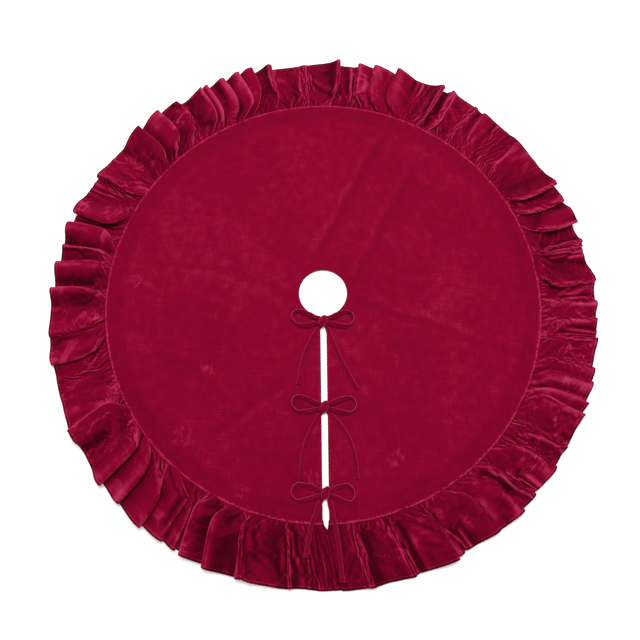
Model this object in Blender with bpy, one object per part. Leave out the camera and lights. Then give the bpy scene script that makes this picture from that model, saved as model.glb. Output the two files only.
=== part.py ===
"""A round gathered velvet tree skirt, laid flat, with its slit closed by three bows.

A velvet panel and a lining are seamed together round a trunk hole and down a straight slit.
A gathered velvet ruffle is caught in the outer seam. Six narrow velvet ties, sewn into the two
slit edges, are knotted into three bows. The front half folds back over the back half about the
X axis, so the panel and the lining are each in quarters: two back ones and two front ones.

Metres, +Z up, the slit towards -Y, the origin on the floor under the middle of the trunk hole.
"""

import math

import bmesh
import bpy
from mathutils import Vector

# Panel, lining and trunk hole
PANEL_RADIUS = 0.485
HOLE_RADIUS = 0.0535
SLIT_WIDTH = 0.013
VELVET_THICK = 0.0016
LINING_THICK = 0.0008
SEAM_ALLOWANCE = 0.010
PANEL_STEPS = 96

# Clearances
GAP = 0.0003
FOLD_GAP = 0.0004

# Ruffle
RUFFLE_WIDTH = 0.122
RUFFLE_HEIGHT = 0.018
RUFFLE_FRONT_HEIGHT = 0.009
RUFFLE_CALM_ANGLE = math.radians(22)
FOLDS_PER_STRIP = 15
POINTS_PER_FOLD = 5
RUFFLE_LEAN = 0.031
RUFFLE_END_GAP = 0.002

# Front fold
FOLD_AXIS_CLEARANCE = 0.005

# Bows, from the hole outwards
FIRST_BOW_FROM_HOLE = 0.012
LAST_BOW_FROM_SEAM = 0.0615
MIDDLE_BOW_SHARE = 0.52
KNOT_WIDTH = 0.016
KNOT_LENGTH = 0.020
KNOT_HEIGHT = 0.0115
TIE_WIDTH = 0.011
TIE_THICK = 0.0028
LOOP_LENGTH = 0.058
LOOP_SPREAD = 0.0145
LOOP_END_WIDTH = 0.0075
LOOP_PIVOT_IN = 0.0022
TAIL_WIDTH = 0.0095
TAIL_THICK = 0.0022
TAIL_START_X = 0.0062

# Each tail: how far to the side it ends, how far short of the next bow (or of the hem) it
# stops, and how far it bows out on the way
TAILS = (
    {"left": (-0.054, 0.0472, 0.010), "right": (0.070, 0.0352, -0.004)},
    {"left": (-0.050, 0.0228, 0.012), "right": (0.064, 0.0248, 0.018)},
    {"left": (-0.040, 0.0635, 0.006), "right": (0.030, 0.0185, 0.004)},
)

# Colours, linear
VELVET_RED = (0.262, 0.0035, 0.030)
RUFFLE_RED = (0.190, 0.003, 0.020)
LINING_RED = (0.210, 0.006, 0.028)
TIE_RED = (0.300, 0.008, 0.045)

LINING_TOP = LINING_THICK
PANEL_BOTTOM = LINING_TOP + GAP
PANEL_TOP = PANEL_BOTTOM + VELVET_THICK
SEAM_RISE = VELVET_THICK + GAP
RIM_TOP = PANEL_TOP + SEAM_RISE
KNOT_BOTTOM = PANEL_TOP + TIE_THICK + 2 * GAP
FOLD_AXIS_HEIGHT = RUFFLE_HEIGHT + FOLD_AXIS_CLEARANCE
FIRST_BOW = HOLE_RADIUS + FIRST_BOW_FROM_HOLE
LAST_BOW = PANEL_RADIUS - LAST_BOW_FROM_SEAM
MIDDLE_BOW = FIRST_BOW + MIDDLE_BOW_SHARE * (LAST_BOW - FIRST_BOW)
BOW_PLACES = (FIRST_BOW, MIDDLE_BOW, LAST_BOW)


def clear_scene():
    for obj in list(bpy.data.objects):
        bpy.data.objects.remove(obj, do_unlink=True)


def cloth_material(name, colour, roughness):
    material = bpy.data.materials.new(name)
    material.use_nodes = True
    shader = material.node_tree.nodes["Principled BSDF"]
    shader.inputs["Base Color"].default_value = (*colour, 1.0)
    shader.inputs["Roughness"].default_value = roughness
    shader.inputs["Metallic"].default_value = 0.0
    return material


def finish(name, bm, material, place=(0.0, 0.0, 0.0), parent=None, smooth=True):
    """Turns a bmesh drawn about the piece's own origin into one named object at that place."""
    bmesh.ops.recalc_face_normals(bm, faces=bm.faces)
    mesh = bpy.data.meshes.new(name)
    bm.to_mesh(mesh)
    bm.free()
    if smooth:
        mesh.shade_smooth()
        mesh.set_sharp_from_angle(angle=math.radians(40))
    mesh.materials.append(material)
    obj = bpy.data.objects.new(name, mesh)
    bpy.context.scene.collection.objects.link(obj)
    obj.parent = parent
    base = parent.location if parent else Vector((0.0, 0.0, 0.0))
    obj.location = Vector(place) - base
    return obj


def axis_empty(name, place, parent=None):
    """An empty that marks a joint's axis and carries the pieces that turn about it."""
    empty = bpy.data.objects.new(name, None)
    empty.empty_display_size = 0.05
    bpy.context.scene.collection.objects.link(empty)
    empty.parent = parent
    base = parent.location if parent else Vector((0.0, 0.0, 0.0))
    empty.location = Vector(place) - base
    return empty


def shifted(bm, place):
    bmesh.ops.translate(bm, verts=bm.verts, vec=-Vector(place))


def turned_sector(profile, from_angle, to_angle, cuts):
    """Spins a closed (radius, height) outline and trims the sector with straight cuts."""
    bm = bmesh.new()
    first = from_angle - math.radians(8)
    turn = to_angle - from_angle + math.radians(16)
    steps = round(PANEL_STEPS * turn / math.tau)
    verts = [bm.verts.new((r * math.cos(first), r * math.sin(first), z)) for r, z in profile]
    edges = [bm.edges.new((verts[i - 1], verts[i])) for i in range(len(verts))]
    bmesh.ops.spin(
        bm,
        geom=verts + edges,
        cent=(0.0, 0.0, 0.0),
        axis=(0.0, 0.0, 1.0),
        angle=turn,
        steps=steps,
        use_duplicate=False,
    )
    for point, outward in cuts:
        bmesh.ops.bisect_plane(
            bm,
            geom=bm.verts[:] + bm.edges[:] + bm.faces[:],
            dist=1e-6,
            plane_co=point,
            plane_no=outward,
            clear_outer=True,
        )
    bmesh.ops.holes_fill(bm, edges=[e for e in bm.edges if e.is_boundary], sides=0)
    return bm


def velvet_profile():
    """The panel lies on the lining and steps up over the ruffle's seam allowance at the rim."""
    step_in = PANEL_RADIUS - SEAM_ALLOWANCE - 0.0035
    flat_to = step_in - 0.012
    return [
        (HOLE_RADIUS, PANEL_BOTTOM),
        (flat_to, PANEL_BOTTOM),
        (step_in, PANEL_BOTTOM + SEAM_RISE),
        (PANEL_RADIUS, PANEL_BOTTOM + SEAM_RISE),
        (PANEL_RADIUS, RIM_TOP),
        (step_in, RIM_TOP),
        (flat_to, PANEL_TOP),
        (HOLE_RADIUS, PANEL_TOP),
    ]


def lining_profile():
    outer = PANEL_RADIUS - 0.001
    return [
        (HOLE_RADIUS, 0.0),
        (outer, 0.0),
        (outer, LINING_TOP),
        (HOLE_RADIUS, LINING_TOP),
    ]


def build_layer(layer, profile, material, front):
    """One layer of cloth in four quarters, cut at the fold line, the slit and the middle back."""
    half_gap = FOLD_GAP / 2
    quarters = (
        ("back_right", 1.0, 1.0, half_gap, None),
        ("back_left", -1.0, 1.0, half_gap, None),
        ("front_left", -1.0, -1.0, SLIT_WIDTH / 2, front),
        ("front_right", 1.0, -1.0, SLIT_WIDTH / 2, front),
    )
    for number, (place, across, along, edge, carrier) in enumerate(quarters):
        start = number * math.pi / 2
        cuts = [
            ((across * edge, 0.0, 0.0), (-across, 0.0, 0.0)),
            ((0.0, along * half_gap, 0.0), (0.0, -along, 0.0)),
        ]
        bm = turned_sector(profile, start, start + math.pi / 2, cuts)
        origin = carrier.location.copy() if carrier else Vector((0.0, 0.0, 0.0))
        shifted(bm, origin)
        finish(f"{layer}_{place}", bm, material, origin, carrier)


def blend(a, b, t):
    t = min(max(t, 0.0), 1.0)
    return a + (b - a) * t * t * (3 - 2 * t)


def ruffle_end_x(r, sign):
    """Where a front ruffle strip ends: open like the slit at the seam, nearly shut past it."""
    out = (r - PANEL_RADIUS) / RUFFLE_WIDTH
    middle = RUFFLE_LEAN * max(out, 0.0)
    half = blend(SLIT_WIDTH / 2, RUFFLE_END_GAP / 2, (out + 0.05) / 0.18)
    return middle + sign * half


def fold_places(strip):
    """Angles shares of the fold ridges along one strip: irregular, but the same every time."""
    widths = []
    for k in range(FOLDS_PER_STRIP):
        widths.append(1.0 + 0.42 * math.sin(2.4 * k + 1.7 * strip) + 0.2 * math.sin(5.1 * k + strip))
    total = sum(widths)
    places = [0.0]
    for width in widths:
        places.append(places[-1] + width / total)
    return places


def ruffle_height(angle):
    """The folds lie flatter beside the slit, where the lowest tails cross them."""
    away = abs((angle + math.pi / 2 + math.pi) % math.tau - math.pi)
    return blend(RUFFLE_FRONT_HEIGHT, RUFFLE_HEIGHT, away / RUFFLE_CALM_ANGLE - 0.6)


def build_ruffle(name, strip, start, end, material, parent=None):
    """One length of ruffle: gathered flat in the seam, standing in folds towards the hem."""
    bm = bmesh.new()
    seam = PANEL_RADIUS - SEAM_ALLOWANCE
    rings = (seam, PANEL_RADIUS + 0.002, PANEL_RADIUS + 0.42 * RUFFLE_WIDTH, None)
    places = fold_places(strip)
    shares = []
    for k in range(FOLDS_PER_STRIP):
        for j in range(POINTS_PER_FOLD):
            u = j / POINTS_PER_FOLD
            shares.append((places[k] + (places[k + 1] - places[k]) * u, k, u))
    shares.append((1.0, FOLDS_PER_STRIP - 1, 1.0))
    rows = []
    for ring, radius in enumerate(rings):
        row = []
        for share, k, u in shares:
            ridge = (0.5 - 0.5 * math.cos(math.tau * u)) ** 1.3
            tall = 0.72 + 0.28 * math.sin(1.9 * k + 0.8 * strip)
            r = radius or PANEL_RADIUS + RUFFLE_WIDTH - 0.004 * ridge * tall
            a = start(r) + (end(r) - start(r)) * share
            lift = (0.0, 0.0, 0.7, 1.0)[ring]
            low = (PANEL_BOTTOM, PANEL_BOTTOM, 0.0, 0.0)[ring]
            z = low + lift * ridge * tall * (ruffle_height(a) - VELVET_THICK)
            row.append(bm.verts.new((r * math.cos(a), r * math.sin(a), z)))
        rows.append(row)
    for inner, outer in zip(rows, rows[1:]):
        for i in range(len(inner) - 1):
            bm.faces.new((inner[i], outer[i], outer[i + 1], inner[i + 1]))
    top = bmesh.ops.extrude_face_region(bm, geom=bm.faces[:])
    raised = [v for v in top["geom"] if isinstance(v, bmesh.types.BMVert)]
    bmesh.ops.translate(bm, verts=raised, vec=(0.0, 0.0, VELVET_THICK))
    place = (0.0, 0.0, 0.0)
    if parent:
        place = parent.location
        shifted(bm, place)
    finish(name, bm, material, place, parent, smooth=False)


def build_ruffles(material, front):
    half_gap = FOLD_GAP / 2

    def at_right(side):
        return lambda r: side * math.asin(half_gap / r)

    def at_back(side):
        return lambda r: math.pi / 2 + side * math.asin(half_gap / r)

    def at_left(side):
        return lambda r: math.pi + side * math.asin(half_gap / r)

    def at_slit(sign, turn):
        return lambda r: turn - math.pi / 2 + math.asin(ruffle_end_x(r, sign) / r)

    build_ruffle("ruffle_back_right", 0, at_right(1), at_back(-1), material)
    build_ruffle("ruffle_back_left", 1, at_back(1), at_left(-1), material)
    build_ruffle("ruffle_front_left", 2, at_left(1), at_slit(-1, math.tau), material, front)
    build_ruffle("ruffle_front_right", 3, at_slit(1, 0.0), at_right(-1), material, front)


def smooth_route(points, steps):
    """A Catmull-Rom curve through the points, evenly spaced by parameter."""
    pts = [Vector(p) for p in points]
    pts = [2 * pts[0] - pts[1]] + pts + [2 * pts[-1] - pts[-2]]
    spans = len(pts) - 3
    route = []
    for i in range(steps + 1):
        s = min(i / steps * spans, spans - 1e-9)
        k = int(s)
        t = s - k
        a, b, c, d = pts[k : k + 4]
        bend = 2 * a - 5 * b + 4 * c - d
        cubic = 3 * b - a - 3 * c + d
        route.append(0.5 * (2 * b + (c - a) * t + bend * t * t + cubic * t * t * t))
    return route


def flat_tube(route, widths, thicks):
    """A flat tube of cloth along the route, lying with its broad side up."""
    bm = bmesh.new()
    rings = []
    for i, point in enumerate(route):
        before = route[max(i - 1, 0)]
        after = route[min(i + 1, len(route) - 1)]
        along = (after - before).normalized()
        across = along.cross(Vector((0.0, 0.0, 1.0))).normalized()
        up = across.cross(along).normalized()
        w = widths[i] / 2
        h = thicks[i] / 2
        outline = ((w, 0), (0.7 * w, h), (-0.7 * w, h), (-w, 0), (-0.7 * w, -h), (0.7 * w, -h))
        rings.append([bm.verts.new(point + across * x + up * z) for x, z in outline])
    for one, two in zip(rings, rings[1:]):
        for i in range(6):
            bm.faces.new((one[i - 1], one[i], two[i], two[i - 1]))
    bm.faces.new(rings[0])
    bm.faces.new(rings[-1])
    return bm


def build_knot(name, centre, material, front):
    """The wrapped knot, a rounded block of cloth above the slit."""
    bm = bmesh.new()
    bmesh.ops.create_cube(bm, size=1.0)
    bmesh.ops.scale(bm, verts=bm.verts, vec=(KNOT_WIDTH, KNOT_LENGTH, KNOT_HEIGHT))
    edges = [e for e in bm.edges]
    bmesh.ops.bevel(bm, geom=edges, offset=0.0032, segments=2, profile=0.6, affect="EDGES")
    finish(name, bm, material, centre, front)


def build_root(name, centre, sign, material, front):
    """The sewn end of a tie: from the slit edge it ramps up to the underside of the knot."""
    outer = sign * (SLIT_WIDTH / 2 - GAP)
    inner = sign * 0.0012
    low = PANEL_BOTTOM + TIE_THICK / 2
    high = KNOT_BOTTOM - GAP - TIE_THICK / 2
    start = Vector((outer, centre[1], low))
    stop = Vector((inner, centre[1], high))
    route = [start, start.lerp(stop, 0.5), stop]
    bm = flat_tube(route, [TIE_WIDTH] * 3, [TIE_THICK * 0.7] * 3)
    shifted(bm, centre)
    finish(name, bm, material, centre, front)


def build_loop(name, centre, sign, material, front):
    """One loop of a bow: out from the knot, round, and back, resting on the panel at its tip."""
    near = KNOT_WIDTH / 2 + GAP
    high = centre[2]
    low = PANEL_TOP + GAP + TIE_THICK / 2 + 0.0006
    tip = near + LOOP_LENGTH - TIE_WIDTH / 2
    wide = LOOP_SPREAD
    arm = 0.0048
    half = [
        (near, arm, high),
        (near + 0.006, arm + 0.0008, high - 0.0004),
        (near + 0.018, 0.0095, high - 0.0025),
        (near + 0.032, wide - 0.0015, low + 0.0022),
        (tip - 0.013, wide, low),
        (tip - 0.0045, wide * 0.72, low),
        (tip, 0.0, low),
    ]
    points = half + [(x, -y, z) for x, y, z in reversed(half[:-1])]
    points = [(sign * x, centre[1] + y, z) for x, y, z in points]
    route = smooth_route(points, 24)
    start = centre[0] + sign * (near + LOOP_PIVOT_IN)
    pivot = (start, centre[1], high)
    widths = []
    thicks = []
    for point in route:
        out = abs(point.x) - near
        widths.append(blend(LOOP_END_WIDTH, TIE_WIDTH, out / 0.024))
        thicks.append(blend(0.0016, TIE_THICK, out / 0.0022))
    bm = flat_tube(route, widths, thicks)
    joint = axis_empty(f"{name}_axis", pivot, front)
    shifted(bm, pivot)
    obj = finish(name, bm, material, pivot)
    obj.parent = joint
    obj.location = (0.0, 0.0, 0.0)


def tail_height(y):
    """A tail leaves the knot's foot and lies on the panel; past the seam it rides the folds."""
    rest = PANEL_TOP + GAP + TAIL_THICK / 2
    rim = RIM_TOP + GAP + TAIL_THICK / 2
    over = RUFFLE_FRONT_HEIGHT + 2 * GAP + TAIL_THICK / 2 + 0.0008
    r = -y
    step_in = PANEL_RADIUS - SEAM_ALLOWANCE - 0.0355
    if r < step_in:
        return rest
    climb = blend(rest, rim + 0.0006, (r - step_in) / 0.018)
    return max(climb, blend(rim, over, (r - step_in - 0.012) / 0.026))


def build_tail(name, shape, following, centre, sign, material, front):
    """The free end of a tie, from the foot of the knot towards the next bow or the hem."""
    end_x, short_of, bulge = shape
    start = Vector((sign * TAIL_START_X, centre[1] - KNOT_LENGTH / 2 - GAP - 0.0002))
    stop = Vector((end_x, short_of - following))
    chord = stop - start
    out = Vector((-chord.y, chord.x)).normalized()
    if out.x * sign < 0:
        out = -out
    points = []
    steps = 16
    for i in range(steps + 1):
        t = i / steps
        flat = start + chord * t + out * bulge * math.sin(math.pi * t)
        points.append(Vector((flat.x, flat.y, tail_height(flat.y))))
    widths = [TAIL_WIDTH * (0.8 if i == 0 else 1.0) for i in range(len(points))]
    bm = flat_tube(points, widths, [TAIL_THICK] * len(points))
    pivot = (start.x, start.y - 0.002, points[0].z)
    joint = axis_empty(f"{name}_axis", pivot, front)
    shifted(bm, pivot)
    obj = finish(name, bm, material, pivot)
    obj.parent = joint
    obj.location = (0.0, 0.0, 0.0)


def main():
    clear_scene()
    velvet = cloth_material("velvet_panel", VELVET_RED, 0.75)
    gathers = cloth_material("velvet_ruffle", RUFFLE_RED, 0.72)
    satin = cloth_material("lining_cloth", LINING_RED, 0.55)
    ties = cloth_material("velvet_tie", TIE_RED, 0.70)
    front = axis_empty("front_fold_axis", (0.0, 0.0, FOLD_AXIS_HEIGHT))
    build_layer("velvet", velvet_profile(), velvet, front)
    build_layer("lining", lining_profile(), satin, front)
    build_ruffles(gathers, front)
    ends = (*BOW_PLACES[1:], PANEL_RADIUS + RUFFLE_WIDTH)
    for number, (place, following) in enumerate(zip(BOW_PLACES, ends), start=1):
        bow = f"bow{number}"
        centre = (0.0, -place, KNOT_BOTTOM + KNOT_HEIGHT / 2)
        build_knot(f"{bow}_knot", centre, ties, front)
        for side, sign in (("left", -1.0), ("right", 1.0)):
            build_root(f"{bow}_root_{side}", centre, sign, ties, front)
            build_loop(f"{bow}_loop_{side}", centre, sign, ties, front)
            shape = TAILS[number - 1][side]
            build_tail(f"{bow}_tail_{side}", shape, following, centre, sign, ties, front)


main()
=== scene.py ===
import math

import bpy
from mathutils import Matrix, Vector, noise


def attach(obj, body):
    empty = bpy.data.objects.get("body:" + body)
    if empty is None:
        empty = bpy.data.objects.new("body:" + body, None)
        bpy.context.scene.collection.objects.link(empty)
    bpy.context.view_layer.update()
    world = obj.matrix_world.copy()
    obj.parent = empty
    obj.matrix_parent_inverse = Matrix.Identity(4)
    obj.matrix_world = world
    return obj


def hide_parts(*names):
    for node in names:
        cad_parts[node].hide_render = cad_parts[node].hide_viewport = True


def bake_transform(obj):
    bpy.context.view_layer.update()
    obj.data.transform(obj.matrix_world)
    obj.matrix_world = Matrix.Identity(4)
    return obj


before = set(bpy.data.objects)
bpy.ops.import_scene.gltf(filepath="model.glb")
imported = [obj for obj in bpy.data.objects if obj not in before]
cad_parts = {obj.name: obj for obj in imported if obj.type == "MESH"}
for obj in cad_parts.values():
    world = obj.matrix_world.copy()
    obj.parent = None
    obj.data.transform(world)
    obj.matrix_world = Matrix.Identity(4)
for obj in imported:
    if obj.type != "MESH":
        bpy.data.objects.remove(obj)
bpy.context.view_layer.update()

# The camera looks down on the skirt from the front, high over its near edge, with a wide lens.
# It leans over sideways by two thirds of a degree, as a hand-held camera does.
CAMERA_RISE = math.radians(75.54)
CAMERA_ROLL = math.radians(0.668)
toward_camera = Vector((0.0, -math.cos(CAMERA_RISE), math.sin(CAMERA_RISE)))
level = Vector((1.0, 0.0, 0.0))
upright = toward_camera.cross(level)
camera_x = level * math.cos(CAMERA_ROLL) - upright * math.sin(CAMERA_ROLL)
camera_y = level * math.sin(CAMERA_ROLL) + upright * math.cos(CAMERA_ROLL)
lens = bpy.data.cameras.new("studio camera")
lens.lens = 28.28
camera = bpy.data.objects.new("studio camera", lens)
camera.matrix_world = Matrix((camera_x, camera_y, toward_camera)).transposed().to_4x4()
camera.location = Vector((-0.0073, -0.0631, 0.004)) + toward_camera * 1.1094
bpy.context.scene.collection.objects.link(camera)
bpy.context.scene.camera = camera


# The ties: six strips of velvet, each sewn into a tube, turned and pressed flat. One end of each
# is caught in the slit's edge, and each pair is knotted into a bow with two loops and two tails.
BOWS = (0.0655, 0.25166, 0.4235)
TIE_WIDTH = 0.0120
TIE_THICK = 0.0032
SQUEEZED = 0.0078  # a tie's width where it comes out of its knot
LOOP_FOOT = 0.0083
LOOP_SPAN = 0.0525


def eased(t):
    """0 to 1 with soft ends, for t from 0 to 1."""
    t = min(max(t, 0.0), 1.0)
    return t * t * (3 - 2 * t)


def ripple(x, seed):
    """A smooth run of random values, about -0.5 to 0.5."""
    return noise.noise(Vector((x, 7.31 * seed, 0.5)))


class Pile:
    """A value in the velvet's nodes: Python's operators on it add Math nodes."""

    def __init__(self, tree, socket=None):
        self.tree = tree
        self.socket = socket

    def node(self, kind, settings=None, inputs=None, output=0):
        made = self.tree.nodes.new(kind)
        for name, value in (settings or {}).items():
            if name == "stops":
                stops = made.color_ramp.elements
                while len(stops) < len(value):
                    stops.new(0.5)
                for stop, (place, colour) in zip(stops, value):
                    stop.position = place
                    stop.color = (*colour, 1.0)
            else:
                setattr(made, name, value)
        for name, value in (inputs or {}).items():
            if isinstance(value, Pile):
                self.tree.links.new(value.socket, made.inputs[name])
            else:
                made.inputs[name].default_value = value
        return Pile(self.tree, made.outputs[output])

    def maths(self, operation, *values):
        return self.node("ShaderNodeMath", {"operation": operation}, dict(enumerate(values)))

    def __add__(self, other):
        return self.maths("ADD", self, other)

    __radd__ = __add__

    def __sub__(self, other):
        return self.maths("SUBTRACT", self, other)

    def __rsub__(self, other):
        return self.maths("SUBTRACT", other, self)

    def __mul__(self, other):
        return self.maths("MULTIPLY", self, other)

    __rmul__ = __mul__

    def __abs__(self):
        return self.maths("ABSOLUTE", self)

    def step(self, low, high):
        """0 below low and 1 above high, or the other way round where high is under low."""
        limits = {"Value": self, "From Min": low, "From Max": high}
        return self.node("ShaderNodeMapRange", {"interpolation_type": "SMOOTHSTEP"}, limits)

    def stretched(self, x, y, z=1.0):
        """These coordinates, multiplied."""
        inputs = {0: self, 1: (x, y, z)}
        return self.node("ShaderNodeVectorMath", {"operation": "MULTIPLY"}, inputs)

    def cloudy(self, scale, detail=2.0, distortion=0.0):
        """Soft random blotches, 0 to 1, on these coordinates."""
        inputs = {"Vector": self, "Scale": scale, "Detail": detail, "Distortion": distortion}
        return self.node("ShaderNodeTexNoise", None, inputs)


def velvet(name, crush, marks):
    """Crimson polyester velvet. Where its pile is brushed up or bruised it is paler and pinker,
    and where the pile is laid down it is a deep wine red. marks adds what one piece has."""
    material = bpy.data.materials.new(name)
    material.use_nodes = True
    shader = material.node_tree.nodes["Principled BSDF"]
    cloth = Pile(material.node_tree)
    flat = cloth.node("ShaderNodeTexCoord", None, None, "UV")
    across = cloth.node("ShaderNodeSeparateXYZ", None, {0: flat}, "X")
    along = cloth.node("ShaderNodeSeparateXYZ", None, {0: flat}, "Y")
    blotches = flat.cloudy(5.5, 3.0, 0.6) - 0.5
    mottle = flat.cloudy(48.0, 4.0, 0.3) - 0.5
    warp = flat.stretched(1.0, 0.07).cloudy(420.0, 2.0) - 0.5
    weft = flat.stretched(0.07, 1.0).cloudy(420.0, 2.0) - 0.5
    grain = flat.cloudy(950.0, 2.0) - 0.5
    bruise = abs(flat.cloudy(26.0, 3.0, 1.6) - 0.5).step(0.035, 0.0)
    where = flat.cloudy(13.0, 2.0, 0.5).step(0.52, 0.66)
    lift, height = marks(cloth, flat, across, along)
    tone = 0.392 + 0.20 * blotches + 0.24 * mottle + 0.16 * warp + 0.16 * weft + 0.24 * grain
    tone = tone + crush * bruise * where + lift
    dyes = (
        (0.0, (0.040, 0.0, 0.003)),
        (0.42, (0.182, 0.0004, 0.0165)),
        (1.0, (0.44, 0.030, 0.098)),
    )
    dyed = cloth.node("ShaderNodeValToRGB", {"stops": dyes}, {"Fac": tone})
    material.node_tree.links.new(dyed.socket, shader.inputs["Base Color"])
    rough = 0.74 + 0.12 * mottle
    material.node_tree.links.new(rough.socket, shader.inputs["Roughness"])
    relief = height + 0.00012 * (warp + weft) + 0.0002 * grain + 0.0004 * mottle
    bump = cloth.node("ShaderNodeBump", None, {"Strength": 1.0, "Distance": 1.0, "Height": relief})
    material.node_tree.links.new(bump.socket, shader.inputs["Normal"])
    shader.inputs["Specular IOR Level"].default_value = 0.02
    shader.inputs["Sheen Weight"].default_value = 0.55
    shader.inputs["Sheen Roughness"].default_value = 0.38
    shader.inputs["Sheen Tint"].default_value = (1.0, 0.05, 0.24, 1.0)
    return material


def tie_marks(cloth, flat, across, along):
    """The pressed edges of the tube carry a painted highlight and its middle a faint painted
    shade, and small creases run across it.
    """
    # Painted highlight along the tube's two rounded edges, and painted shade along its middle.
    edge = abs(abs(along - 0.5) - 0.25).step(0.165, 0.225)
    middle = abs(abs(along - 0.5) - 0.25).step(0.14, 0.03)
    creases = flat.stretched(1.0, 4.0).cloudy(120.0, 2.0, 0.8) - 0.5
    return 0.60 * edge - 0.06 * middle + 0.30 * creases + 0.04, 0.0009 * creases


tie_velvet = velvet("velvet of the ties", 0.25, tie_marks)


def smooth_line(points, steps):
    """A smooth line through the points, with this many steps between each two."""
    spots = [Vector(p) for p in points]
    spots = [spots[0] * 2 - spots[1], *spots, spots[-1] * 2 - spots[-2]]
    line = []
    for a, b, c, d in zip(spots, spots[1:], spots[2:], spots[3:]):
        for i in range(steps):
            t = i / steps
            bend = (2 * a - 5 * b + 4 * c - d) * t * t + (3 * b - a - 3 * c + d) * t**3
            line.append((2 * b + (c - a) * t + bend) / 2)
    return [*line, spots[-2]]


def sewn_tube(name, line, widths, tilts, outward, body, seed):
    """A flat tube of velvet along a line. Its width tilts down from the level by tilts, in
    degrees, on the outward side, and the middle is pressed thinner than its two edges."""
    rings = len(line) - 1
    bpy.ops.object.select_all(action="DESELECT")
    bpy.ops.mesh.primitive_grid_add(x_subdivisions=rings, y_subdivisions=20, size=1.0)
    tube = bpy.context.object
    tube.name = name
    length = sum((b - a).length for a, b in zip(line, line[1:]))
    for vert in tube.data.vertices:
        ring = round((vert.co.x + 0.5) * rings)
        turn = math.tau * (vert.co.y + 0.5)
        before = line[max(ring - 1, 0)]
        after = line[min(ring + 1, rings)]
        run = (after - before).normalized()
        side = run.cross(Vector((0.0, 0.0, 1.0))).normalized() * outward
        tilt = math.radians(tilts[ring])
        up = side.cross(run)
        up = -up if up.z < 0 else up
        wide = side * math.cos(tilt) - up * math.sin(tilt)
        face = run.cross(wide).normalized()
        place = length * ring / rings
        reach = math.cos(turn)
        reach = math.copysign(abs(reach) ** 0.8, reach)
        plump = 1.0 - 0.42 * (1.0 - reach * reach)
        half = widths[ring] / 2 * (1.0 + 0.10 * ripple(place * 90, seed))
        thick = TIE_THICK / 2 * plump * math.sin(turn)
        rumple = 0.0011 * ripple(place * 150, seed + 3) * (1.0 - reach * reach)
        rumple += 0.0008 * ripple(place * 210 + 3 * reach, seed + 5)
        vert.co = line[ring] + wide * (half * reach) + face * (thick + rumple)
    for loop in tube.data.uv_layers[0].data:
        loop.uv = (loop.uv.x * length, loop.uv.y)
    bpy.ops.object.mode_set(mode="EDIT")
    bpy.ops.mesh.select_all(action="SELECT")
    bpy.ops.mesh.remove_doubles(threshold=0.00001)
    bpy.ops.mesh.select_all(action="DESELECT")
    bpy.ops.mesh.select_non_manifold()
    bpy.ops.mesh.edge_face_add()
    bpy.ops.mesh.select_all(action="SELECT")
    bpy.ops.mesh.normals_make_consistent(inside=False)
    bpy.ops.object.mode_set(mode="OBJECT")
    bpy.ops.object.shade_smooth_by_angle(angle=math.radians(50))
    tube.data.materials.append(tie_velvet)
    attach(tube, body)
    return tube


def loop_line(place, side, reach, rise):
    """The middle line of one loop: out from the knot, round its tip, where it stands on edge,
    and back."""
    half = [
        (LOOP_FOOT, 0.0048, 0.01185),
        (0.0143, 0.0062, 0.01145),
        (0.0263, 0.0112, 0.0099),
        (0.0403, 0.0152, 0.0092),
        (0.0478, 0.0162, 0.0091),
        (0.0563, 0.0114, 0.0091),
        (0.0608, 0.0, 0.0091),
    ]
    ring = half + [(x, -y, z) for x, y, z in reversed(half[:-1])]
    line = []
    for x, y, z in ring:
        far = (x - LOOP_FOOT) / LOOP_SPAN
        x = LOOP_FOOT + (x - LOOP_FOOT) * reach
        line.append((side * x, y - place + rise * far**1.3, z))
    return smooth_line(line, 8)


# How far each loop reaches, against an even one, and how far its tip lies up or down.
LOOPS = (
    ((1.16, 0.009), (1.12, 0.004)),
    ((1.16, 0.008), (1.12, 0.002)),
    ((1.16, 0.001), (0.96, -0.005)),
)

for number, (place, pair) in enumerate(zip(BOWS, LOOPS), 1):
    for side, word, (reach, rise) in ((-1, "left", pair[0]), (1, "right", pair[1])):
        line = loop_line(place, side, reach, rise)
        far = [(abs(p.x) - LOOP_FOOT) / LOOP_SPAN / reach for p in line]
        widths = [SQUEEZED + (TIE_WIDTH - SQUEEZED) * eased(f / 0.4) for f in far]
        tilts = [-22.0 - 136.0 * eased(i / (len(line) - 1)) for i in range(len(line))]
        name = f"bow{number}_{word}_loop_velvet"
        body = f"bow{number}_loop_{word}"
        loop = sewn_tube(name, line, widths, tilts, -side, body, 10 * number + side)
        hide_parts(body)
        length = sum((b - a).length for a, b in zip(line, line[1:]))

# The tails: where each one ends, and how far it bows outwards on the way.
TAIL_STEPS = 64
TAIL_WIDTH = 0.0106
TAIL_REST = 0.0060
SEAM_START = 0.4395
TAILS = (
    ((-0.054, -0.20446, 0.010), (0.070, -0.21646, -0.004)),
    ((-0.050, -0.4007, 0.012), (0.064, -0.3987, 0.018)),
    ((-0.040, -0.5435, 0.006), (0.030, -0.5885, 0.004)),
)


def tail_rest(y):
    """The height of a tail's middle: low on the panel, then up over the seam and the ruffle."""
    climb = TAIL_REST + 0.0025 * eased((-y - SEAM_START) / 0.018)
    over = 0.0079 + 0.0068 * eased((-y - 0.4515) / 0.026)
    return max(climb, over) if -y > SEAM_START else TAIL_REST


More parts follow.
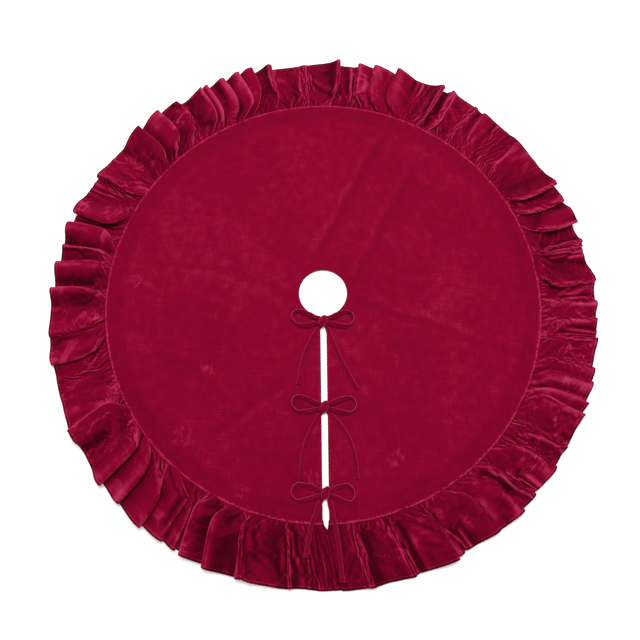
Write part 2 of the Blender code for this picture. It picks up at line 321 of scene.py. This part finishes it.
for number, (place, pair) in enumerate(zip(BOWS, TAILS), 1):
    for side, word, (end_x, end_y, bulge) in ((-1, "left", pair[0]), (1, "right", pair[1])):
        start = Vector((side * 0.0062, -place - 0.0105))
        chord = Vector((end_x, end_y)) - start
        out = Vector((-chord.y, chord.x)).normalized()
        out = -out if out.x * side < 0 else out
        line = []
        for step in range(TAIL_STEPS + 1):
            t = step / TAIL_STEPS
            spot = start + chord * t + out * bulge * math.sin(math.pi * t)
            lifted = tail_rest(spot.y) - 0.0019 * (1.0 - eased(step / 22))
            line.append(Vector((spot.x, spot.y, lifted)))
        widths = [TAIL_WIDTH * (0.8 + 0.2 * eased(step / 6)) for step in range(TAIL_STEPS + 1)]
        tilts = [23.0 * eased(step / 22) for step in range(TAIL_STEPS + 1)]
        body = f"bow{number}_tail_{word}"
        tail = sewn_tube(body + "_velvet", line, widths, tilts, side, body, 40 * number + side)
        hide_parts(body)
        length = sum((b - a).length for a, b in zip(line, line[1:]))

# The roots: the sewn end of each tie comes up out of the slit's edge and goes under its knot.
ROOT_WIDTH = 0.0105
ROOT_RISE = ((0.0062, 0.0019), (0.004, 0.0032), (0.0012, 0.0049))
for number, place in enumerate(BOWS, 1):
    for side, word in ((-1, "left"), (1, "right")):
        line = smooth_line([(side * x, -place, z) for x, z in ROOT_RISE], 6)
        name = f"bow{number}_root_{word}"
        widths = [ROOT_WIDTH] * len(line)
        tilts = [0.0] * len(line)
        root = sewn_tube(name + "_velvet", line, widths, tilts, side, "front", number)
        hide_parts(name)


# The knots: each is the two ties wrapped over each other and pulled tight, so a puckered lump
# with one turn of tie lying over it from the upper right to the lower left.
LUMP_WIDE = 0.0092
LUMP_LONG = 0.0116
LUMP_TALL = 0.0052
WRAP_WIDE = 0.0060
WRAP_LONG = 0.0128
WRAP_TALL = 0.0054
for number, place in enumerate(BOWS, 1):
    centre = Vector((0.0, -place - 0.0014, 0.0105))
    bpy.ops.object.select_all(action="DESELECT")
    bpy.ops.mesh.primitive_uv_sphere_add(segments=48, ring_count=24, radius=1.0)
    lump = bpy.context.object
    lump.name = f"bow{number}_knot_velvet"
    for vert in lump.data.vertices:
        turn = math.atan2(vert.co.z, vert.co.y)
        pucker = 1.0 + 0.05 * math.cos(9 * turn + number) + 0.10 * ripple(2.2 * turn, number)
        x, y, z = vert.co
        vert.co = centre + Vector((LUMP_WIDE * x, LUMP_LONG * y, LUMP_TALL * z)) * pucker
    slant = math.radians(28.0 + 10.0 * ripple(number * 1.9, 2))
    bpy.ops.object.select_all(action="DESELECT")
    bpy.ops.mesh.primitive_grid_add(x_subdivisions=56, y_subdivisions=20, size=1.0)
    wrap = bpy.context.object
    for vert in wrap.data.vertices:
        turn = math.tau * (vert.co.x + 0.5)
        round_it = math.tau * (vert.co.y + 0.5)
        reach = math.cos(round_it)
        reach = math.copysign(abs(reach) ** 0.8, reach)
        uneven = 0.14 * math.cos(2 * turn + number) + 0.3 * ripple(turn * 1.3, number + 4)
        thick = 0.0013 * (1.0 - 0.3 * (1.0 - reach * reach)) * math.sin(round_it)
        crown = 1.0 - 0.10 * reach * reach + 0.04 * math.cos(reach * 7.0 + number)
        across = reach * WRAP_WIDE * (1.0 + uneven)
        along = math.cos(turn) * (WRAP_LONG * crown + thick)
        above = math.sin(turn) * (WRAP_TALL * crown + thick)
        x = across * math.cos(slant) + along * math.sin(slant)
        y = along * math.cos(slant) - across * math.sin(slant)
        vert.co = centre + Vector((x, y, above))
    bpy.ops.object.mode_set(mode="EDIT")
    bpy.ops.mesh.select_all(action="SELECT")
    bpy.ops.mesh.remove_doubles(threshold=0.00001)
    bpy.ops.mesh.normals_make_consistent(inside=False)
    bpy.ops.object.mode_set(mode="OBJECT")
    for piece, size in ((lump, 0.03), (wrap, 0.055)):
        for loop in piece.data.uv_layers[0].data:
            loop.uv = (loop.uv.x * size, loop.uv.y)
    lump.select_set(True)
    bpy.context.view_layer.objects.active = lump
    bpy.ops.object.join()
    bpy.ops.object.shade_smooth_by_angle(angle=math.radians(60))
    lump.data.materials.clear()
    lump.data.materials.append(tie_velvet)
    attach(lump, "front")
    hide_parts(f"bow{number}_knot")


# The panel: one flat ring of velvet with a slit, its edges turned in at the hole and down the
# slit. Its outer edge is turned under over the ruffle's gathers, so it stands up a little there.
PANEL_RADIUS = 0.485
HOLE_RADIUS = 0.0535
SLIT = 0.013
PANEL_TOP = 0.0027
VELVET_THICK = 0.0013
TURNED = 0.0035  # how far in from a cut edge the cloth rolls down


def swell(x, y):
    """The slow ups and downs of cloth that has been folded away and laid out again."""
    spot = Vector((x * 5.0, y * 5.0, 3.3))
    calm = eased((abs(x) - 0.02) / 0.08) if y < 0.02 else 1.0
    return 0.00075 * (noise.noise(spot) + 0.25) * (0.25 + 0.75 * calm)


def panel_rise(x, y):
    """The height of the panel's top: rolled down at its cut edges and up over the seam."""
    r = math.hypot(x, y)
    seam = 0.0019 * eased((r - 0.4595) / 0.012)
    rim = 0.0011 * (1.0 - min(max((PANEL_RADIUS - r) / TURNED, 0.0), 1.0)) ** 2
    hole = 0.0006 * (1.0 - min((r - HOLE_RADIUS) / TURNED, 1.0)) ** 2
    edge = 0.0
    if y < 0.0:
        edge = 0.0006 * (1.0 - min(max(abs(x) - SLIT / 2, 0.0) / TURNED, 1.0)) ** 2
    pucker = 0.0007 * eased((r - 0.462) / 0.02) * noise.noise(Vector((x * 60, y * 60, 1.0)))
    return PANEL_TOP + seam - rim - hole - edge + pucker + swell(x, y)


def crowded(t):
    """Spreads 0 to 1 so that steps are short near both ends."""
    return t - math.sin(math.tau * t) * 0.93 / math.tau


def laid_ring(name, columns, rows, inner, outer, slit, rise):
    """A ring of cloth with a slit, laid flat, as one sheet with its face up."""
    bpy.ops.object.select_all(action="DESELECT")
    bpy.ops.mesh.primitive_grid_add(x_subdivisions=columns, y_subdivisions=rows, size=1.0)
    ring = bpy.context.object
    ring.name = name
    for vert in ring.data.vertices:
        r = inner + (outer - inner) * crowded(vert.co.y + 0.5)
        edge = math.asin(slit / 2 / r)
        angle = 1.5 * math.pi - edge - crowded(vert.co.x + 0.5) * (math.tau - 2 * edge)
        x = r * math.cos(angle)
        y = r * math.sin(angle)
        vert.co = (x, y, rise(x, y))
    for face in ring.data.polygons:
        for index, corner in zip(face.loop_indices, face.vertices):
            spot = ring.data.vertices[corner].co
            ring.data.uv_layers[0].data[index].uv = (spot.x, spot.y)
    return ring


def panel_marks(cloth, flat, across, along):
    """Soft lines where the skirt was folded away, each a shallow dent with painted shade in its
    hollow and a painted highlight along one side, bruises in the pile, a painted highlight along
    the rolled rim broken by frayed nicks, and the pressed edges. A crease is where it starts,
    where it stops and how deep it is."""
    lift = 0.0
    height = 0.0
    creases = (
        ((-0.06, -0.01), (-0.22, 0.06), 0.9),
        ((-0.21, 0.056), (-0.40, 0.085), 0.7),
        ((0.06, -0.01), (0.41, -0.145), 1.0),
        ((-0.02, 0.07), (0.16, 0.41), 1.3),
        ((0.06, 0.0), (0.23, 0.32), 1.0),
        ((-0.065, 0.01), (-0.105, 0.105), 0.6),
        ((-0.075, -0.185), (-0.25, -0.315), 1.0),
        ((-0.34, -0.14), (-0.23, -0.20), 0.8),
    )
    wander = flat.cloudy(8.0, 2.0) - 0.5
    for start, stop, deep in creases:
        size = math.dist(start, stop)
        run = (stop[0] - start[0]) / size
        climb = (stop[1] - start[1]) / size
        away = (across - start[0]) * -climb + (along - start[1]) * run + 0.03 * wander
        far = (across - start[0]) * run + (along - start[1]) * climb
        there = far.step(-0.01, 0.04) * far.step(size + 0.02, size - 0.06)
        # Painted shade in each crease's hollow, which is also a shallow dent, and a painted
        # highlight along its edge.
        shaded_hollow = abs(away).step(0.016, 0.0) * there
        edge = abs(away - 0.017).step(0.014, 0.0) * there
        lift = lift + deep * (0.035 * edge - 0.055 * shaded_hollow)
        height = height - 0.0006 * deep * shaded_hollow
    r = (across * across + along * along).maths("SQRT", across * across + along * along)
    # Painted highlight along the rolled rim, broken by frayed nicks.
    frayed = flat.cloudy(170.0, 3.0, 1.0) - 0.5
    rim = (r + 0.012 * frayed).step(0.4812, 0.4846)
    under = r.step(0.4815, 0.4755) * r.step(0.435, 0.46)
    front = along.step(0.02, -0.02)
    slit_edge = abs(abs(across) - 0.0102).step(0.0012, 0.0) * front
    hole_edge = abs(r - 0.0575).step(0.0014, 0.0)
    scuffs = flat.stretched(1.0, 0.6).cloudy(105.0, 5.0, 0.8).step(0.42, 0.72)
    # Where each bruise is, and its radius.
    bruises = (
        (-0.30, -0.31, 0.030),
        (-0.17, -0.42, 0.020),
        (-0.42, 0.035, 0.022),
        (0.15, -0.36, 0.026),
        (-0.25, -0.17, 0.024),
        (-0.03, -0.40, 0.026),
        (-0.022, -0.30, 0.018),
    )
    scuffed = 0.0
    for x, y, size in bruises:
        away = (across - x) * (across - x) + (along - y) * (along - y)
        scuffed = scuffed + away.step(size * size, 0.1 * size * size)
    lift = lift + 0.50 * rim - 0.07 * under + 0.10 * slit_edge - 0.06 * hole_edge
    lift = lift + 0.21 * scuffs * scuffed
    height = height - 0.0003 * slit_edge - 0.0003 * hole_edge
    return lift, height


# Velvet and lining have the same columns and rows.
RING_COLUMNS = 600
RING_ROWS = 58
panel = laid_ring(
    "velvet_panel", RING_COLUMNS, RING_ROWS, HOLE_RADIUS, PANEL_RADIUS, SLIT, panel_rise
)
wall = panel.modifiers.new("cloth", "SOLIDIFY")
wall.thickness = VELVET_THICK
wall.offset = -1.0
wall.use_even_offset = False
soft = panel.modifiers.new("turned edge", "BEVEL")
soft.width = 0.0005
soft.segments = 2
soft.limit_method = "ANGLE"
soft.angle_limit = math.radians(50)
bpy.ops.object.modifier_apply(modifier="cloth")
bpy.ops.object.modifier_apply(modifier="turned edge")
bpy.ops.object.shade_smooth_by_angle(angle=math.radians(60))
panel.data.materials.append(velvet("velvet of the panel", 0.03, panel_marks))
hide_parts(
    "velvet_back_left", "velvet_back_right", "velvet_front_left", "velvet_front_right"
)
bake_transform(panel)


# The lining: a ring of plain woven cloth under the velvet, seamed to it at the hole, down the
# slit and round the rim, and pressed. It lies on the floor, and shows at the edges and from below.
LINING_RADIUS = 0.4745
LINING_TOP = 0.00078
LINING_THICK = 0.0006


def lining_rise(x, y):
    """The lining's top: a little uneven, and level where the rim's seam holds it."""
    free = eased((0.47 - math.hypot(x, y)) / 0.02)
    return LINING_TOP + 0.00012 * noise.noise(Vector((x * 14, y * 14, 8.0))) * free


hole = HOLE_RADIUS + 0.0008
slit = SLIT + 0.0012
lining = laid_ring(
    "lining_panel", RING_COLUMNS, RING_ROWS, hole, LINING_RADIUS, slit, lining_rise
)
wall = lining.modifiers.new("cloth", "SOLIDIFY")
wall.thickness = LINING_THICK
wall.offset = -1.0
wall.use_even_offset = False
bpy.ops.object.modifier_apply(modifier="cloth")
bpy.ops.object.shade_smooth_by_angle(angle=math.radians(60))
plain = bpy.data.materials.new("plain woven lining")
plain.use_nodes = True
weave = Pile(plain.node_tree)
flat = weave.node("ShaderNodeTexCoord", None, None, "UV")
fine = {"Vector": flat, "Scale": 320.0}
threads = flat.node("ShaderNodeTexWave", {"bands_direction": "X"}, fine)
picks = flat.node("ShaderNodeTexWave", {"bands_direction": "Y"}, fine)
slub = flat.stretched(1.0, 0.05).cloudy(300.0, 2.0) - 0.5
wear = flat.cloudy(6.0, 3.0) - 0.5
tone = 0.5 + 0.35 * (threads * picks - 0.25) + 0.3 * slub + 0.35 * wear
reds = ((0.0, (0.075, 0.001, 0.010)), (1.0, (0.20, 0.004, 0.030)))
dyed = weave.node("ShaderNodeValToRGB", {"stops": reds}, {"Fac": tone})
cloth_shader = plain.node_tree.nodes["Principled BSDF"]
plain.node_tree.links.new(dyed.socket, cloth_shader.inputs["Base Color"])
relief = 0.00008 * (threads + picks) + 0.00006 * slub
bump = weave.node("ShaderNodeBump", None, {"Distance": 1.0, "Height": relief})
plain.node_tree.links.new(bump.socket, cloth_shader.inputs["Normal"])
cloth_shader.inputs["Roughness"].default_value = 0.8
cloth_shader.inputs["Specular IOR Level"].default_value = 0.12
lining.data.materials.append(plain)
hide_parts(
    "lining_back_left", "lining_back_right", "lining_front_left", "lining_front_right"
)
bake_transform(lining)


# The ruffle: four strips of velvet sewn end to end, gathered to a little over half their length
# along one edge and stitched under the panel's rim. They fall into laps that lean on each other.
COLUMNS = 1200
ROWS = 26
RUFFLE_WIDTH = 0.122
RUFFLE_SEWN = 0.4765  # the radius of its sewn edge, under the panel's rim
RUFFLE_FLAT = 0.1305  # its whole width, with the part under the rim
LAPS = 66
TUCKS = 150
GATHERS = 330
OVERLAP = 0.0016  # how far each end goes past the middle of the slit
TALLEST = 0.031


def ruffle_end(r, sign):
    """Where the ruffle stops beside the slit: open at the seam, and overlapping past it."""
    out = max((r - PANEL_RADIUS) / RUFFLE_WIDTH, 0.0)
    half = SLIT / 2 + (-OVERLAP - SLIT / 2) * eased((out + 0.05) / 0.18)
    return 0.031 * out + sign * half


def ruffle_angle(share, r):
    """The angle at a share of the way round, clockwise from the slit, with joins at the sides."""
    left = 1.5 * math.pi + math.asin(ruffle_end(r, -1) / r)
    right = -0.5 * math.pi + math.asin(ruffle_end(r, 1) / r)
    stops = (left, math.pi, math.pi / 2, 0.0, right)
    part = min(int(share * 4), 3)
    return stops[part] + (stops[part + 1] - stops[part]) * (share * 4 - part)


bpy.ops.object.select_all(action="DESELECT")
bpy.ops.mesh.primitive_grid_add(x_subdivisions=COLUMNS, y_subdivisions=ROWS, size=1.0)
ruffle = bpy.context.object
ruffle.name = "ruffle"
for vert in ruffle.data.vertices:
    share = vert.co.x + 0.5
    r = RUFFLE_SEWN + RUFFLE_FLAT * (vert.co.y + 0.5)
    out = max(0.0, (r - PANEL_RADIUS) / RUFFLE_WIDTH)
    angle = ruffle_angle(share, r)
    # The laps: each has its own height and lean, and swells out of the seam in its own way.
    fold = LAPS * share + 1.3 * ripple(share * 19, 1) + 0.4 * ripple(share * 64, 2)
    big = (0.5 + 0.5 * math.cos(math.tau * fold)) ** 1.3
    which = round(fold)
    tall = 0.78 + 0.9 * ripple(which * 1.37, 4)
    tip = ripple(which * 0.23, 3)
    lean = math.copysign(0.9 + min(1.1, 3.2 * abs(tip)), tip)
    near = abs(share - round(share))
    calm = 0.30 + 0.70 * eased((near - 0.017) / 0.018)
    flat_end = eased(near / 0.006)
    puff = 1.0 - math.exp(-out * (7.5 + 9.0 * ripple(which * 1.9, 10)))
    height = TALLEST * big * tall * puff * calm * flat_end
    swing = lean * height / r
    # Smaller tucks between them, and the gathers, which die out soon after the seam.
    tuck = TUCKS * share + 1.3 * ripple(share * 45, 5)
    mid = 0.5 + 0.5 * math.cos(math.tau * tuck)
    dying = min(1.0, out * 9) * max(0.0, 1.0 - out * 1.15)
    height += 0.0040 * flat_end * mid * dying * (0.5 + abs(ripple(tuck * 0.21, 8)))
    gather = GATHERS * share + 1.5 * ripple(share * 66, 6)
    small = 0.5 + 0.5 * math.cos(math.tau * gather)
    dying = min(1.0, out * 24) * max(0.0, 1.0 - out * 3.2) ** 1.5
    height += 0.0020 * flat_end * small * dying
    # The right end lies on the left one.
    height += 0.0030 * eased(out / 0.15) * (1.0 - eased((1.0 - share) / 0.005))
    r += 0.003 * ripple(fold * 2.3, 9) * out
    vert.co = (r * math.cos(angle + swing), r * math.sin(angle + swing), 0.0020 + height)
held = ruffle.vertex_groups.new(name="stitched")
sewn = [v.index for v in ruffle.data.vertices if math.hypot(v.co.x, v.co.y) < 0.4868]
held.add(sewn, 1.0, "REPLACE")
end_columns = (0, 1, COLUMNS - 1, COLUMNS)
ends = [v.index for v in ruffle.data.vertices if v.index % (COLUMNS + 1) in end_columns]
held.add(ends, 1.0, "REPLACE")
SETTLING_FRAMES = 16
bpy.ops.mesh.primitive_plane_add(size=3.0)
table = bpy.context.object
table.modifiers.new("table", "COLLISION")
table.collision.thickness_outer = 0.0012
table.collision.cloth_friction = 30
bpy.context.view_layer.objects.active = ruffle
drape = ruffle.modifiers.new("drape", "CLOTH")
drape.settings.quality = 4
drape.settings.mass = 0.0009
drape.settings.air_damping = 1.0
drape.settings.tension_stiffness = 8.0
drape.settings.compression_stiffness = 4.0
drape.settings.shear_stiffness = 2.0
drape.settings.bending_stiffness = 0.008
drape.settings.tension_damping = 2.0
drape.settings.compression_damping = 2.0
drape.settings.shear_damping = 2.0
drape.settings.bending_damping = 0.2
drape.settings.vertex_group_mass = "stitched"
drape.collision_settings.use_collision = True
drape.collision_settings.distance_min = 0.001
drape.collision_settings.collision_quality = 2
drape.collision_settings.use_self_collision = True
drape.collision_settings.self_distance_min = 0.0013
drape.point_cache.frame_start = 1
drape.point_cache.frame_end = 40
for moment in range(1, SETTLING_FRAMES + 1):
    bpy.context.scene.frame_set(moment)
bpy.ops.object.modifier_apply(modifier="drape")
bpy.data.objects.remove(table)
bpy.context.scene.frame_set(1)
# The highest laps are pressed down softly, as by their own weight in the box.
PRESSED_FROM = 0.015
PRESSED_INTO = 0.0105
for vert in ruffle.data.vertices:
    if vert.co.z > PRESSED_FROM:
        over = (vert.co.z - PRESSED_FROM) / PRESSED_INTO
        vert.co.z = PRESSED_FROM + PRESSED_INTO * math.tanh(over)


def ruffle_marks(cloth, flat, across, along):
    """The hem's stitching, painted shade along the hem's rolled edge, paler folds that are partly
    pile opened on the bend and partly painted highlight, painted shade in the valleys, painted
    light and shade on the flanks by their lean, painted shade over the front, and pile crushed in
    the gathers.
    """
    # Ridges paler, partly pile opened on the bend and partly a painted highlight, and valleys
    # darker with painted shade.
    fold = cloth.node("ShaderNodeAttribute", {"attribute_name": "fold"}, None, "Fac")
    # Painted light and shade on each flank by which way round it leans, standing for the pile's
    # lie.
    nap = cloth.node("ShaderNodeAttribute", {"attribute_name": "nap"}, None, "Fac")
    place = cloth.node("ShaderNodeTexCoord", None, None, "Object")
    # Painted shade: the ruffle's front, towards low y, is made darker.
    low = cloth.node("ShaderNodeSeparateXYZ", None, {0: place}, "Y").step(-0.20, -0.55)
    stitch = abs(along - 0.0050).step(0.0012, 0.0003)
    dashes = abs((across * 360.0).maths("FRACT", across * 360.0) - 0.5).step(0.40, 0.30)
    # Painted shade along the outer few millimetres, where the rolled hem edge turns under.
    hem = along.step(0.0050, 0.0030)
    worn = flat.stretched(1.0, 0.45).cloudy(30.0, 4.0, 1.1).step(0.50, 0.66)
    lift = 0.85 * (fold - 0.5) + 0.42 * (nap - 0.5) + 0.20 * worn - 0.13 - 0.10 * low
    lift = lift + 0.36 * stitch * (0.55 + 0.45 * dashes) - 0.16 * hem
    height = -0.0005 * stitch * (0.6 + 0.4 * dashes)
    return lift, height


# Each strip keeps two values for its colour. One makes its ridges paler, partly pile opened on the
# bend and partly painted highlight, and its valleys darker with painted shade. The other paints
# one flank of every fold lighter and the other darker by which way round it leans: painted light
# and shade, standing for the pile laid down on one side and brushed up on the other.
spots = [v.co.copy() for v in ruffle.data.vertices]
fold_light_and_shade_layer = ruffle.data.attributes.new("fold", "FLOAT", "POINT")
nap_light_and_shade_layer = ruffle.data.attributes.new("nap", "FLOAT", "POINT")
for row in range(ROWS + 1):
    for column in range(COLUMNS + 1):
        here = row * (COLUMNS + 1) + column
        before = spots[row * (COLUMNS + 1) + max(column - 1, 0)]
        after = spots[row * (COLUMNS + 1) + min(column + 1, COLUMNS)]
        bend = (before + after) / 2 - spots[here]
        normal = ruffle.data.vertices[here].normal
        sharp = -bend.dot(normal) / max((after - before).length, 0.0005)
        fold_light_and_shade_layer.data[here].value = 0.5 + max(-0.5, min(0.5, sharp * 2.2))
        # Painted light and shade from the flank's lean round the ring.
        ring = Vector((spots[here].y, -spots[here].x, 0.0)).normalized()
        nap_light_and_shade_layer.data[here].value = 0.5 + 0.5 * max(-1.0, min(1.0, normal.dot(ring) * 1.2))

smooth = ruffle.modifiers.new("smooth", "SUBSURF")
smooth.levels = 1
smooth.render_levels = 1
bpy.ops.object.modifier_apply(modifier="smooth")
ruffle_velvet = velvet("velvet of the ruffle", 0.34, ruffle_marks)

# The ruffle is cut into its four strips, and each gets a wall, which is double at the hem.
HEM_WIDTH = 0.006
HEM_THICK = 0.0021
CLOTH_LENGTH = 5.4
for part, strip_name in enumerate(("front_left", "back_left", "back_right", "front_right")):
    strip = ruffle.copy()
    strip.data = ruffle.data.copy()
    strip.name = f"ruffle_{strip_name}_velvet"
    bpy.context.scene.collection.objects.link(strip)
    bpy.ops.object.select_all(action="DESELECT")
    strip.select_set(True)
    bpy.context.view_layer.objects.active = strip
    bpy.ops.object.mode_set(mode="EDIT")
    bpy.ops.mesh.select_mode(type="FACE")
    bpy.ops.mesh.select_all(action="DESELECT")
    bpy.ops.object.mode_set(mode="OBJECT")
    grid = strip.data.uv_layers[0].data
    for face in strip.data.polygons:
        share = sum(grid[i].uv.x for i in face.loop_indices) / 4
        face.select = not part / 4 <= share <= (part + 1) / 4
    bpy.ops.object.mode_set(mode="EDIT")
    bpy.ops.mesh.delete(type="FACE")
    bpy.ops.object.mode_set(mode="OBJECT")
    hem = strip.vertex_groups.new(name="hem")
    for face in strip.data.polygons:
        for index, corner in zip(face.loop_indices, face.vertices):
            from_hem = (1.0 - strip.data.uv_layers[0].data[index].uv.y) * RUFFLE_FLAT
            if from_hem < HEM_WIDTH:
                hem.add([corner], 1.0, "REPLACE")
    for loop in strip.data.uv_layers[0].data:
        loop.uv = (loop.uv.x * CLOTH_LENGTH, (1.0 - loop.uv.y) * RUFFLE_FLAT)
    wall = strip.modifiers.new("cloth", "SOLIDIFY")
    wall.thickness = HEM_THICK
    wall.offset = 0.0
    wall.vertex_group = "hem"
    wall.thickness_vertex_group = 0.5
    wall.use_even_offset = False
    bpy.ops.object.modifier_apply(modifier="cloth")
    bpy.ops.object.shade_smooth_by_angle(angle=math.radians(80))
    strip.data.materials.append(ruffle_velvet)
    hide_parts(f"ruffle_{strip_name}")
    if "back" in strip_name:
        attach(strip, "back")
    else:
        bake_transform(strip)
bpy.data.objects.remove(ruffle)


# The studio: a plain white floor of paper, just under the skirt, white walls all round, and one
# large soft lamp overhead, a little behind the skirt.
bpy.ops.mesh.primitive_plane_add(size=9.0, location=(0.0, 0.0, -0.0006))
floor = bpy.context.object
floor.name = "studio_floor"
white = bpy.data.materials.new("white paper")
white.use_nodes = True
paper = white.node_tree.nodes["Principled BSDF"]
paper.inputs["Base Color"].default_value = (0.98, 0.98, 0.98, 1.0)
paper.inputs["Roughness"].default_value = 0.95
floor.data.materials.append(white)
world = bpy.data.worlds.new("white room")
world.use_nodes = True
world.node_tree.nodes["Background"].inputs["Color"].default_value = (1.0, 1.0, 1.0, 1.0)
world.node_tree.nodes["Background"].inputs["Strength"].default_value = 0.60
bpy.context.scene.world = world
lamp_data = bpy.data.lights.new("soft lamp", "AREA")
lamp_data.energy = 57.0
lamp_data.size = 1.1
lamp = bpy.data.objects.new("soft lamp", lamp_data)
lamp.location = (0.1, 0.5, 2.25)
lamp.rotation_euler = lamp.location.to_track_quat("Z", "Y").to_euler()
bpy.context.scene.collection.objects.link(lamp)
bpy.context.scene.view_settings.view_transform = "Standard"
